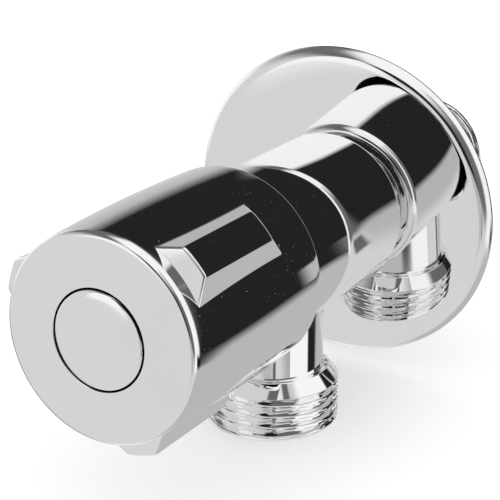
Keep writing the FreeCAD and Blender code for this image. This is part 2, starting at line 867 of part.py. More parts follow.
def make_handle():
    body = new_body("handle_shell")
    rear = handle_rear
    length = d.handle_length
    socket_r = (insert_flat_r + d.fit_gap) / math.cos(math.radians(30))
    hub_r = socket_r + d.hub_wall
    hub_depth = hub_rear - rear
    cavity_front = length - d.front_wall
    turn_solid(body, "barrel", steps((handle_rear_r, ZERO), (handle_front_r, length)))
    round_edges(body, "front_bevel", d.handle_bevel, edges_at(body, handle_front_r.value, length.value))
    round_edges(body, "rear_bevel", d.skirt_lip, edges_at(body, handle_rear_r.value, 0.0))
    lug_rear = length - d.lug_setback - d.lug_length
    lug_foot = handle_front_r - d.lug_root
    lug_sketch = outline(new_sketch(body, "lug_outline", "XY_Plane", lug_rear), [
        (lug_foot, -d.lug_base_width / 2),
        (lug_r, -d.lug_top_width / 2),
        (lug_r, d.lug_top_width / 2),
        (lug_foot, d.lug_base_width / 2),
    ])
    repeat_round(body, pad(body, lug_sketch, "lug", d.lug_length), "lugs", SIZES["lug_count"])
    turn_cut(body, "lug_ramps", [
        (handle_rear_r, lug_rear),
        (lug_r + d.lug_height, lug_rear + d.lug_ramp * 2),
        (lug_r + d.lug_height, lug_rear),
    ])
    lug_front = lug_rear + d.lug_length
    turn_cut(body, "lug_faces", [
        (handle_rear_r, lug_front),
        (lug_r + d.lug_height, lug_front - d.lug_front_draft * 2),
        (lug_r + d.lug_height, lug_front),
    ])
    turn_cut(body, "skirt_hollow", [
        (hub_r, ZERO),
        (skirt_bore_r, ZERO),
        (skirt_bore_r - d.cavity_taper, cavity_front),
        (hub_r, cavity_front),
    ])
    turn_cut(body, "hub_hollow", steps((hub_r, ZERO), (hub_r, hub_depth)))
    turn_cut(body, "button_recess", steps((recess_r, recess_floor - rear), (recess_r, length)))
    hole_r = screw_r + d.screw_hole_gap
    turn_cut(body, "screw_hole", steps((hole_r, web_rear - rear), (hole_r, recess_floor - rear)))
    primitive(body, "SubtractivePrism", "insert_socket", {
        "Circumradius": socket_r,
        "Height": web_rear - hub_rear,
    }, {"z": hub_depth})
    seat(body, rear, SIZES["lug_turn"])


def make_handle_insert():
    """A six-sided plastic bush that carries the spline's turning force to the handle."""
    rear = hub_rear + d.insert_recess
    height = web_rear - rear
    blank = doc.addObject("Part::Prism", "insert_blank")
    blank.Polygon = 6
    bind(blank, "Circumradius", insert_flat_r / math.cos(math.radians(30)))
    bind(blank, "Height", height)
    insert = cut("insert_bored", blank, cylinder("insert_bore", spindle_r + d.running_gap, height))
    seat(named(insert, "handle_insert"), rear, SIZES["lug_turn"])


def make_handle_screw():
    body = new_body("handle_screw")
    head_r = d.screw_head_d / 2
    head_front = d.screw_length + d.screw_head_height
    lead = d.screw_pitch * METRIC_FORM[0]
    turn_solid(body, "screw_blank", steps(
        (screw_r - lead, ZERO),
        (screw_r, lead),
        (screw_r, d.screw_length),
        (head_r, d.screw_length),
        (head_r, head_front),
    ))
    round_edges(body, "head_round", d.screw_head_height / 2, edges_at(body, head_r.value, head_front.value))
    thread_length = d.screw_length - d.washer_height - d.web_height - lead
    ring_thread(body, "screw_thread", screw_r, METRIC_FORM, d.screw_pitch, lead + d.screw_pitch / 2,
                ridges(thread_length, d.screw_pitch))
    cut_cross(body, "cross_slot", d.screw_slot_span, d.screw_slot_width, d.screw_slot_depth,
              head_front - d.screw_slot_depth)
    seat(body, recess_floor + d.washer_height - d.screw_length)


def make_screw_washer():
    seat(tube("screw_washer", d.washer_d / 2, screw_r + d.fit_gap, d.washer_height), recess_floor)


def make_index_button():
    body = new_body("index_button")
    cap_r = recess_r - d.button_gap
    skirt = d.button_skirt_length
    top = skirt + d.button_rim
    groove_front = skirt - d.button_groove_width
    groove_rear = groove_front - d.button_groove_width
    turn_solid(body, "cap", steps(
        (button_skirt_r, ZERO),
        (button_skirt_r, groove_rear),
        (button_groove_r, groove_rear),
        (button_groove_r, groove_front),
        (button_skirt_r, groove_front),
        (button_skirt_r, skirt),
        (cap_r, skirt),
        (cap_r, top),
    ))
    skirt_bore_r = button_skirt_r - d.button_skirt_wall
    turn_cut(body, "skirt_bore", steps((skirt_bore_r, ZERO), (skirt_bore_r, skirt)))
    turned(body, "Groove", crown_outline(new_sketch(body, "crown_outline"), cap_r, top), "crown")
    seat(body, button_rear)


def crown_outline(sketch, cap_r, top):
    """Outline the sliver between a flat top and the button's shallow dome."""
    rim = top - d.button_crown
    dome_r = (cap_r.value ** 2 + d.button_crown.value ** 2) / (2 * d.button_crown.value)
    half_angle = math.asin(cap_r.value / dome_r)
    centre = FreeCAD.Vector(0, top.value - dome_r, 0)
    dome = Part.Circle(centre, FreeCAD.Vector(0, 0, 1), dome_r)
    apex = FreeCAD.Vector(0, top.value, 0)
    corner = FreeCAD.Vector(cap_r.value, top.value, 0)
    edge = FreeCAD.Vector(cap_r.value, rim.value, 0)
    sketch.addGeometry(Part.ArcOfCircle(dome, math.pi / 2 - half_angle, math.pi / 2))
    sketch.addGeometry(Part.LineSegment(apex, corner))
    sketch.addGeometry(Part.LineSegment(corner, edge))
    for line, end, other, start in ((0, 2, 1, 1), (1, 2, 2, 1), (2, 2, 0, 1)):
        sketch.addConstraint(Sketcher.Constraint("Coincident", line, end, other, start))
    sketch.addConstraint(Sketcher.Constraint("PointOnObject", 0, 3, -2))
    fix_point(sketch, 1, 1, ZERO, top)
    fix_point(sketch, 2, 1, cap_r, top)
    fix_point(sketch, 2, 2, cap_r, rim)
    return sketch


def make_button_ring():
    """A soft ring in the button's groove, which holds the button in its recess."""
    cord_r = (recess_r - button_groove_r - d.fit_gap) / 2
    ring = doc.addObject("Part::Torus", "button_grip_ring")
    bind(ring, "Radius1", recess_r - d.fit_gap - cord_r)
    bind(ring, "Radius2", cord_r)
    seat(named(ring, "button_ring"), button_groove_front - d.button_groove_width / 2)


make_valve_body()
make_wall_flange()
make_bonnet()
make_seals()
make_discs()
make_silencer_screen()
make_strainer()
make_spindle()
make_spindle_rings()
make_thrust_washer()
make_circlip()
make_stop_ring()
make_handle()
make_handle_insert()
make_handle_screw()
make_screw_washer()
make_index_button()
make_button_ring()

doc.recompute()

# Check everything, then write one file a piece

for item in doc.Objects:
    if "Invalid" in item.State or "Error" in item.State:
        raise ValueError("failed: " + item.Name + " " + str(item.State))

os.makedirs("parts", exist_ok=True)
for piece in NODES:
    shape = piece.Shape
    if shape.isNull() or not shape.isValid() or not shape.Solids:
        raise ValueError("bad shape: " + piece.Label)
    shape.exportStep(os.path.join("parts", piece.Label + ".step"))
    print(piece.Label, len(shape.Solids), round(shape.Volume, 2))
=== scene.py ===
"""Looks of a chromed wall angle valve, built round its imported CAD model.

The valve's own frame is used throughout, in metres: +Y runs into the wall along the inlet, -Y to
the front along the handle, and +Z up. Places along the valve are distances along -Y from the wall.
"""

import json
import logging
import math
from dataclasses import dataclass, field
from enum import Enum
from typing import Callable, Mapping, NamedTuple, Optional, Sequence, Union

import bmesh
import bpy
from mathutils import Matrix, Vector


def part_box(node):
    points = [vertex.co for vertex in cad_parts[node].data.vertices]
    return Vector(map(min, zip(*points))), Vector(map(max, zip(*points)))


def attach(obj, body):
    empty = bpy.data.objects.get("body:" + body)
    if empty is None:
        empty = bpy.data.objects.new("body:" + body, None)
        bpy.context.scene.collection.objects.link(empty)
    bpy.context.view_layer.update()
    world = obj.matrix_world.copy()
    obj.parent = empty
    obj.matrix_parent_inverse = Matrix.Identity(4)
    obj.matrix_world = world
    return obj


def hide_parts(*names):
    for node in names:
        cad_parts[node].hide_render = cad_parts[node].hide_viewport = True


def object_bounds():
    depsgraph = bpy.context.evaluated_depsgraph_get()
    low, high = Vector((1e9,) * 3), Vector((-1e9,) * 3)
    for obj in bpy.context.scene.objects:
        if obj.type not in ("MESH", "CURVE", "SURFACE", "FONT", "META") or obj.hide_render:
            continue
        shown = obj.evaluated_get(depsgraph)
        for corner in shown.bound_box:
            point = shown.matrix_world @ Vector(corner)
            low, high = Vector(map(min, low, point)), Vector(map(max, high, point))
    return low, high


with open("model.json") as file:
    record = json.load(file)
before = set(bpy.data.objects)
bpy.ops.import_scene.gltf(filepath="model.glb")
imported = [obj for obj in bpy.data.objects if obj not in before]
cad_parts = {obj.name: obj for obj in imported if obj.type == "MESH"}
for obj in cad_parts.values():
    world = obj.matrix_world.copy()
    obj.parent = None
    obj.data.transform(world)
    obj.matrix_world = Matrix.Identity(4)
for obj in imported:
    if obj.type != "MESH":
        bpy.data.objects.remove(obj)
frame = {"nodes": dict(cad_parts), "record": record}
CAD_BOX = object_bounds()

LOG = logging.getLogger("angle_valve")
FULL_TURN = 2 * math.pi
FULL_TURN_DEGREES = 360.0
RIGHT_ANGLE = math.pi / 2
LEAST_ARC_EDGES = 2

# Points this near to each other, or to an axis, count as touching.
TOUCH = 1e-7
ON_AXIS = 1e-6

# The curve that screen colours follow.
SCREEN_WHITE = 255
SCREEN_OFFSET = 0.055
SCREEN_GAMMA = 2.4

ORIGIN = Vector((0.0, 0.0, 0.0))
SIDEWAYS = Vector((1.0, 0.0, 0.0))
FORWARD = Vector((0.0, -1.0, 0.0))
DOWN = Vector((0.0, 0.0, -1.0))

Mesh = bmesh.types.BMesh
Piece = bpy.types.Object
Node = bpy.types.Node
Colour = tuple[float, float, float]
Span = tuple[float, float]
Inputs = Mapping[Union[str, int], object]


# Shader graphs

class Signal:
    """One output of a shader node; sums and products of signals add Math nodes."""

    def __init__(self, graph: "Graph", socket: bpy.types.NodeSocket) -> None:
        """Keep the socket together with the graph that it belongs to."""
        self.graph = graph
        self.socket = socket

    def maths(self, operation: str, *others: "Value") -> "Signal":
        """Add a Math node whose first input is this signal."""
        return self.graph.maths(operation, self, *others)

    def __add__(self, other: "Value") -> "Signal":
        """Add a value or a signal."""
        return self.maths("ADD", other)

    __radd__ = __add__

    def __mul__(self, other: "Value") -> "Signal":
        """Multiply by a value or a signal."""
        return self.maths("MULTIPLY", other)

    def __sub__(self, other: "Value") -> "Signal":
        """Take a value or a signal away."""
        return self.maths("SUBTRACT", other)

    def __rsub__(self, other: "Value") -> "Signal":
        """Take this signal away from a value."""
        return self.graph.maths("SUBTRACT", other, self)

    def __truediv__(self, other: "Value") -> "Signal":
        """Divide by a value or a signal."""
        return self.maths("DIVIDE", other)


Value = Union[Signal, float]


class Graph:
    """A node tree that is filled from Python expressions."""

    def __init__(self, tree: bpy.types.NodeTree) -> None:
        """Start with an empty tree."""
        self.tree = tree
        tree.nodes.clear()

    def add(self, kind: str, inputs: Optional[Inputs] = None, **settings: object) -> Node:
        """Add a node.

        Args:
            kind: the node's type, without the leading "ShaderNode".
            inputs: values or signals for its sockets, by name or number.
            settings: the node's own properties.

        Returns:
            The new node.
        """
        node = self.tree.nodes.new("ShaderNode" + kind)
        for name, value in settings.items():
            setattr(node, name, value)
        self.feed(node, inputs or {})
        return node

    def feed(self, node: Node, inputs: Inputs) -> None:
        """Set or link sockets of a node.

        Args:
            node: the node.
            inputs: values or signals, by the sockets' names or numbers.
        """
        for key, value in inputs.items():
            socket = node.inputs[key]
            if isinstance(value, Signal):
                self.tree.links.new(value.socket, socket)
            elif socket.type == "RGBA":
                socket.default_value = (*value, 1.0)
            else:
                socket.default_value = value

    def out(self, node: Node, key: Union[str, int] = 0) -> Signal:
        """Read one output of a node."""
        return Signal(self, node.outputs[key])

    def maths(self, operation: str, *values: Value) -> Signal:
        """Add a Math node on signals or values."""
        return self.out(self.add("Math", dict(enumerate(values)), operation=operation))

    def blend(self, share: Value, first: object, second: object) -> Signal:
        """Mix two colours, by the colour sockets of a Mix node and a share from 0 to 1."""
        node = self.add("Mix", {0: share, 6: first, 7: second}, data_type="RGBA")
        return self.out(node, 2)

    def ramp(self, place: Signal, stops: Sequence[tuple[float, Colour]]) -> Signal:
        """Read a colour from a ramp.

        Args:
            place: where it is read, from 0 to 1.
            stops: places with their colours, from the lowest to the highest.

        Returns:
            The colour.
        """
        node = self.add("ValToRGB", {0: place})
        elements = node.color_ramp.elements
        while len(elements) > 1:
            elements.remove(elements[-1])
        for index, (spot, colour) in enumerate(stops):
            element = elements[0] if index == 0 else elements.new(spot)
            element.position = spot
            element.color = (*colour, 1.0)
        return self.out(node)

    def spread(self, signal: Signal, low: float, high: float,
               to_low: float = 0.0, to_high: float = 1.0) -> Signal:
        """Carry a signal from one range smoothly onto another, and hold it there."""
        inputs = {0: signal, 1: low, 2: high, 3: to_low, 4: to_high}
        return self.out(self.add("MapRange", inputs, interpolation_type="SMOOTHSTEP"))

    def place(self) -> Signal:
        """The place on the piece, in object coordinates."""
        return self.out(self.add("TexCoord"), "Object")

    def reach(self) -> Signal:
        """Measure how far the place on the piece is from the valve's axis.

        Returns:
            The distance, in object coordinates.
        """
        place = self.add("SeparateXYZ", {0: self.place()})
        across, up = self.out(place, "X"), self.out(place, "Z")
        return (across * across + up * up).maths("SQRT")

    def noise(self, scale: float, detail: float,
              stretch: tuple[float, float, float] = (1.0, 1.0, 1.0)) -> Signal:
        """Soft noise on object coordinates.

        Args:
            scale: how many lumps fit in a metre.
            detail: how many finer layers are added.
            stretch: how the coordinates are scaled before the noise is read.

        Returns:
            The noise, about 0.5 on average.
        """
        mapped = self.out(self.add("Mapping", {"Vector": self.place(), "Scale": stretch}))
        inputs = {"Vector": mapped, "Scale": scale, "Detail": detail}
        return self.out(self.add("TexNoise", inputs))

    def specks(self, scale: float, size: float, core: float = 0.6) -> Signal:
        """Small round specks on object coordinates.

        Args:
            scale: how many cells, each with a speck, fit in a metre.
            size: the specks' radius, as a share of a cell.
            core: the share of that radius inside which a speck is at its full.

        Returns:
            1 in a speck, and 0 elsewhere.
        """
        cells = self.add("TexVoronoi", {"Vector": self.place(), "Scale": scale})
        return self.spread(self.out(cells, "Distance"), size * core, size, 1.0, 0.0)


# Finishes

@dataclass(frozen=True)
class Finish:
    """What every finish has: a name and a colour."""

    name: str
    colour: Colour

    def material(self) -> bpy.types.Material:
        """Make the material, with its shader wired up.

        Returns:
            The new material.
        """
        material = bpy.data.materials.new(self.name)
        material.use_nodes = True
        material.diffuse_color = (*self.colour, 1.0)
        graph = Graph(material.node_tree)
        shader = graph.add("BsdfPrincipled")
        self.wire(graph, shader)
        graph.add("OutputMaterial", {"Surface": graph.out(shader)})
        return material

    def wire(self, graph: Graph, shader: Node) -> None:
        """Set the shader's sockets; each kind of finish does this in its own way."""
        raise NotImplementedError


@dataclass(frozen=True)
class Metal(Finish):
    """Bare or plated metal with handling marks.

    Attributes:
        smear: the roughness that a smear adds.
        speck_size: the radius of a speck of dust, as a share of its cell.
        wave: the height of its slow waves.
        wave_scale: how many of them fit in a metre.
        turned: the height of the rings that turning leaves.
        brushed_from: the distance from the axis beyond which it is brushed, or 0.
        bare_within: the distance from the axis within which the inside gets painted shade, a dark
            colour, or 0.
        bare_span: the stretch along Y behind the front over which that painted shade sets in.
    """

    roughness: float
    smear: float
    speck_size: float = 0.05
    wave: float = 0.0
    wave_scale: float = 90.0
    turned: float = 0.0
    brushed_from: float = 0.0
    bare_within: float = 0.0
    smear_scale: float = 55.0
    smear_span: Span = (0.45, 0.75)
    smear_tint: float = 0.1
    patch_scale: float = 120.0
    patch_span: Span = (0.45, 0.65)
    dust_scale: float = 1500.0
    grit_scale: float = 500.0
    grit_share: float = 0.4
    dust_tint: float = 0.3
    dust_roughness: float = 0.25
    dust_cover: float = 0.4
    dull_share: float = 0.8
    ring_scale: float = 60.0
    brushed_fade: float = 0.0006
    brushed_roughness: float = 0.02
    streak_scale: float = 700.0
    streak_stretch: float = 0.03
    streak_roughness: float = 0.22
    bare_fade: float = 0.00002
    bare_span: Span = (-0.0716, -0.0712)
    # A dark colour that paints shade inside the piece.
    bare_colour: Colour = (0.15, 0.14, 0.135)
    bare_roughness: float = 0.4

    def wire(self, graph: Graph, shader: Node) -> None:
        """Polish with faint smears, patches of dust, painted shade inside where it is set and, on
        turned metal, fine rings.

        Args:
            graph: the material's graph.
            shader: its shader.
        """
        smears = graph.spread(graph.noise(self.smear_scale, 3.0), *self.smear_span)
        patches = graph.spread(graph.noise(self.patch_scale, 2.0), *self.patch_span)
        dust = graph.specks(self.dust_scale, self.speck_size) * patches
        dust = dust + graph.specks(self.grit_scale, self.speck_size * self.grit_share)
        roughness = self.roughness + smears * self.smear + dust * self.dust_roughness
        if self.brushed_from:
            roughness = roughness + self.brushed(graph)
        dull = tuple(channel * self.dull_share for channel in self.colour)
        tint = graph.blend(smears * self.smear_tint + dust * self.dust_tint, self.colour, dull)
        metallic = 1.0 - dust * self.dust_cover
        # Painted shade: the inside near the axis and behind the front is darkened, and also made
        # rougher.
        if self.bare_within:
            painted_shade = self.inside(graph)
            tint = graph.blend(painted_shade, tint, self.bare_colour)
            roughness = roughness + painted_shade * self.bare_roughness
        graph.feed(shader, {"Base Color": tint, "Metallic": metallic, "Roughness": roughness})
        if self.wave or self.turned:
            height = graph.noise(self.wave_scale, 1.0) * self.wave
            if self.turned:
                rings = graph.noise(self.ring_scale, 2.0, (1.0, self.ring_scale, 1.0))
                height = height + rings * self.turned
            inputs = {"Strength": 1.0, "Distance": 1.0, "Height": height}
            graph.feed(shader, {"Normal": graph.out(graph.add("Bump", inputs))})

    def brushed(self, graph: Graph) -> Signal:
        """Brush the metal in streaks across its rim.

        Args:
            graph: the material's graph.

        Returns:
            The roughness that this adds.
        """
        streaks = graph.noise(self.streak_scale, 3.0, (1.0, self.streak_stretch, 1.0))
        full = self.brushed_from + self.brushed_fade
        share = graph.spread(graph.reach(), self.brushed_from, full)
        return share * (streaks * self.streak_roughness + self.brushed_roughness)

    def inside(self, graph: Graph) -> Signal:
        """Find the inside of a piece, near its axis and behind its front, which gets painted shade.

        Args:
            graph: the material's graph.

        Returns:
            1 inside, where the shade is painted, and 0 outside.
        """
        place = graph.add("SeparateXYZ", {0: graph.place()})
        full = self.bare_within - self.bare_fade
        near_axis = graph.spread(graph.reach(), full, self.bare_within, 1.0, 0.0)
        return near_axis * graph.spread(graph.out(place, "Y"), *self.bare_span)


@dataclass(frozen=True)
class Moulded(Finish):
    """Plastic, rubber, fibre or ceramic: a plain body with a fine grain.

    Attributes:
        grain: how many grains fit in a metre.
        depth: how high they stand.
        mottle: how much darker the darkest patches are.
    """

    roughness: float
    grain: float = 900.0
    depth: float = 0.00002
    mottle: float = 0.15
    cloud_share: float = 0.25
    cloud_middle: float = 0.5
    cloud_span: Span = (0.35, 0.7)
    cloud_roughness: float = 0.2
    bump: float = 0.6

    def wire(self, graph: Graph, shader: Node) -> None:
        """Vary the colour a little and roughen the skin with a fine grain.

        Args:
            graph: the material's graph.
            shader: its shader.
        """
        cloud = graph.noise(self.grain * self.cloud_share, 3.0)
        grain = graph.noise(self.grain, 2.0)
        dark = tuple(channel * (1.0 - self.mottle) for channel in self.colour)
        tint = graph.blend(graph.spread(cloud, *self.cloud_span), self.colour, dark)
        roughness = self.roughness + (cloud - self.cloud_middle) * self.cloud_roughness
        inputs = {"Strength": self.bump, "Distance": 1.0, "Height": grain * self.depth}
        bump = graph.out(graph.add("Bump", inputs))
        graph.feed(shader, {"Base Color": tint, "Roughness": roughness, "Normal": bump})


CHROME = (0.96, 0.96, 0.965)
STEEL_SHEET = (0.95, 0.95, 0.955)


class Slot(Enum):
    """The record's material slots, each with the finish that it takes."""

    polished_chrome = Metal("chrome_body", CHROME, 0.012, 0.02, 0.09, 8e-7, 110.0)
    # The shell's hollow and recess get painted shade: a dark colour near the axis, behind the front.
    handle_chrome = Metal("chrome_handle", CHROME, 0.012, 0.02, 0.1, 8e-7, bare_within=0.01466)
    flange_chrome = Metal("chrome_flange", STEEL_SHEET, 0.012, 0.02, 0.06, 8e-7, 80.0,
                          brushed_from=0.0251)
    button_chrome = Metal("chrome_button", CHROME, 0.015, 0.02, 0.06)
    raw_brass = Metal("turned_brass", (0.72, 0.50, 0.20), 0.22, 0.12, turned=0.00002)
    spindle_brass = Metal("bright_brass", (0.76, 0.55, 0.24), 0.18, 0.1, turned=0.00001)
    stainless = Metal("stainless_steel", (0.62, 0.61, 0.59), 0.24, 0.1, turned=0.00001)
    ceramic = Moulded("ceramic", (0.86, 0.85, 0.82), 0.25, 600.0, 0.000005, 0.06)
    dark_rubber = Moulded("black_rubber", (0.02, 0.02, 0.022), 0.6)
    seal_fibre = Moulded("red_fibre", (0.36, 0.10, 0.06), 0.85, 1200.0, 0.00005, 0.35)
    low_friction_plastic = Moulded("slippery_plastic", (0.82, 0.82, 0.80), 0.4)
    grey_plastic = Moulded("grey_plastic", (0.22, 0.23, 0.24), 0.5)
    white_plastic = Moulded("white_plastic", (0.80, 0.80, 0.78), 0.45)


MATERIALS: dict[Slot, bpy.types.Material] = {}


# Turned forms

class Corner(NamedTuple):
    """A corner of a half section.

    Attributes:
        radius: its distance from the axis.
        place: its place along the axis.
        rounding: the radius of the arc that replaces it, or 0.
    """

    radius: float
    place: float
    rounding: float = 0.0


def rounded(corners: Sequence[Corner], closed: bool, steps: int = 6) -> list[Vector]:
    """Turn the corners of a half section into points, with an arc at each rounded corner.

    Args:
        corners: the corners in order.
        closed: whether the last corner is joined to the first.
        steps: how many edges an arc of a right angle gets.

    Returns:
        Points whose X is the distance from the axis and whose Y is the place along it.
    """
    points: list[Vector] = []
    flat = [Vector((corner.radius, corner.place)) for corner in corners]
    count = len(corners)
    for index, corner in enumerate(corners):
        inner = closed or 0 < index < count - 1
        if not corner.rounding or not inner:
            points.append(flat[index])
            continue
        here = flat[index]
        before = (flat[index - 1] - here).normalized()
        after = (flat[(index + 1) % count] - here).normalized()
        half = before.angle(after) / 2
        middle = here + (before + after).normalized() * (corner.rounding / math.sin(half))
        start = here + before * (corner.rounding / math.tan(half)) - middle
        sweep = start.angle_signed(here + after * (corner.rounding / math.tan(half)) - middle)
        edges = max(LEAST_ARC_EDGES, round(steps * abs(sweep) / RIGHT_ANGLE))
        for step in range(edges + 1):
            turn = Matrix.Rotation(-sweep * step / edges, 2)
            points.append(middle + turn @ start)
    return points


def stepped(start: float, *steps: tuple[float, float]) -> list[Corner]:
    """Lay out a stepped pin along an axis.

    Args:
        start: the place where it starts.
        steps: the radius of each step and the place where it ends.

    Returns:
        Its corners, from the axis back to the axis.
    """
    corners = [Corner(0, start)]
    for radius, end in steps:
        corners += [Corner(radius, corners[-1].place), Corner(radius, end)]
    return corners + [Corner(0, corners[-1].place)]


@dataclass(frozen=True)
class Lathe:
    """Turns half sections round an axis.

    Attributes:
        origin: a point on the axis, from which places are measured.
        along: the direction in which places grow.
        segments: how many facets a full turn gets.
    """

    origin: Vector
    along: Vector
    segments: int = 192

    def turn(self, points: Sequence[Vector], closed: bool) -> Mesh:
        """Spin a half section into a closed form.

        Args:
            points: the section; X is the distance from the axis and Y the place along it.
            closed: whether its last point is joined to its first.

        Returns:
            The mesh, with its faces outward.
        """
        made = bmesh.new()
        ring = [made.verts.new(self.origin + SIDEWAYS * point.x + self.along * point.y)
                for point in points]
        pairs = list(zip(ring, ring[1:]))
        if closed:
            pairs.append((ring[-1], ring[0]))
        edges = [made.edges.new(pair) for pair in pairs]
        bmesh.ops.spin(made, geom=ring + edges, cent=self.origin, axis=self.along,
                       angle=FULL_TURN, steps=self.segments, use_merge=True, use_duplicate=False)
        bmesh.ops.remove_doubles(made, verts=made.verts, dist=TOUCH)
        bmesh.ops.recalc_face_normals(made, faces=made.faces)
        return made

    def solid(self, corners: Sequence[Corner], steps: int = 6) -> Mesh:
        """Turn corners into a solid; a section that starts on the axis ends there too."""
        closed = corners[0].radius > 0
        return self.turn(rounded(corners, closed, steps), closed)

    def reshape(self, made: Mesh,
                move: Callable[[float, float, float], float]) -> None:
        """Move every vertex to a new distance from the axis.

        Args:
            made: the mesh to change.
            move: gives the new distance from the old one, the angle and the place.
        """
        side = self.along.cross(SIDEWAYS)
        for vertex in made.verts:
            local = vertex.co - self.origin
            place = local.dot(self.along)
            spoke = local - self.along * place
            radius = spoke.length
            if radius < ON_AXIS:
                continue
            angle = math.atan2(spoke.dot(side), spoke.x)
            growth = move(radius, angle, place) / radius
            vertex.co = self.origin + self.along * place + spoke * growth


VALVE_LATHE = Lathe(ORIGIN, FORWARD)


def object_of(made: Mesh, name: str) -> Piece:
    """Put a mesh into the scene as an object at the origin.

    Args:
        made: the mesh, which is freed.
        name: the name that both the object and its mesh get.

    Returns:
        The new object.
    """
    mesh = bpy.data.meshes.new(name)
    made.to_mesh(mesh)
    made.free()
    thing = bpy.data.objects.new(name, mesh)
    bpy.context.scene.collection.objects.link(thing)
    return thing


class Carving(Enum):
    """What a piece goes through when another solid is carved into it."""

    ADD = "UNION"
    CUT = "DIFFERENCE"


def carve(thing: Piece, made: Mesh, carving: Carving) -> None:
    """Add a solid to a piece, or cut it away.

    Args:
        thing: the piece that is changed.
        made: the solid's mesh, which is freed.
        carving: whether the solid is added or cut away.
    """
    tool = object_of(made, "tool")
    change = thing.modifiers.new("carving", "BOOLEAN")
    change.operation = carving.value
    change.solver = "EXACT"
    change.object = tool
    bpy.context.view_layer.update()
    evaluated = thing.evaluated_get(bpy.context.evaluated_depsgraph_get())
    shape = bpy.data.meshes.new_from_object(evaluated)
    thing.modifiers.clear()
    thing.data = shape
    bpy.data.objects.remove(tool)


def polish(thing: Piece, crease: float = 32.0) -> None:
    """Shade a piece smooth, with creases at its edges.

    Args:
        thing: the piece.
        crease: the angle between two faces, in degrees, from which their edge is a crease.
    """
    made = bmesh.new()
    made.from_mesh(thing.data)
    for face in made.faces:
        face.smooth = True
    for edge in made.edges:
        if len(edge.link_faces) == 2:
            edge.smooth = edge.calc_face_angle(0.0) < math.radians(crease)
    made.to_mesh(thing.data)
    made.free()
    weights = thing.modifiers.new("even_normals", "WEIGHTED_NORMAL")
    weights.keep_sharp = True


def paint(thing: Piece, slot: Slot) -> None:
    """Give an object the finish of a slot, and no other."""
    thing.data.materials.clear()
    thing.data.materials.append(MATERIALS[slot])


def finish_piece(thing: Piece, slot: Slot, body: str, *nodes: str) -> None:
    """Give a piece its finish, the body that it rides on and the nodes that it stands for.

    Args:
        thing: the piece.
        slot: its material slot.
        body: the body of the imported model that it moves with.
        nodes: the nodes of that model that it replaces.
    """
    paint(thing, slot)
    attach(thing, body)
    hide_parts(*nodes)
    LOG.info("%s: %d faces", thing.name, len(thing.data.polygons))


# Threads

@dataclass(frozen=True)
class PipeThread:
    """A helical pipe thread, pressed into a turned surface as a change of radius.

    Attributes:
        radius: the distance of its crests from the axis.
        start: the lower of the two places between which it runs.
        fade: the length over which it runs out at either end.
        depth_share: the depth of its grooves, as a share of the pitch.
        crest_share: the share of half a pitch that stays as high as the crest.
        flank_share: the share that the flank takes.
        rings: how many rings of points a pitch gets.
    """

    radius: float
    pitch: float
    start: float
    end: float
    fade: float
    depth_share: float = 0.6403
    crest_share: float = 1 / 6
    flank_share: float = 2 / 3
    rings: int = 18

    def blank(self) -> list[Corner]:
        """Lay out the surface that the thread is pressed into.

        Returns:
            Corners at the crests' height, close enough together to hold the grooves.
        """
        length = self.end - self.start
        count = round(length / self.pitch * self.rings)
        return [Corner(self.radius, self.start + length * step / count)
                for step in range(count + 1)]

    def cut(self, radius: float, angle: float, place: float) -> float:
        """Press the thread into one point of the surface.

        Args:
            radius: the point's distance from the axis.
            angle: its angle round the axis.
            place: its place along the axis.

        Returns:
            Its new distance from the axis.
        """
        if not self.start - TOUCH <= place <= self.end + TOUCH:
            return radius
        phase = (place / self.pitch + angle / FULL_TURN) % 1.0
        groove = 1.0 - abs(2.0 * phase - 1.0)
        share = min(1.0, max(0.0, (groove - self.crest_share) / self.flank_share))
        eased = share * share * (3 - 2 * share)
        ends = min(1.0, (place - self.start) / self.fade, (self.end - place) / self.fade)
        return radius - self.pitch * self.depth_share * eased * max(0.0, ends)


# The sub-assemblies

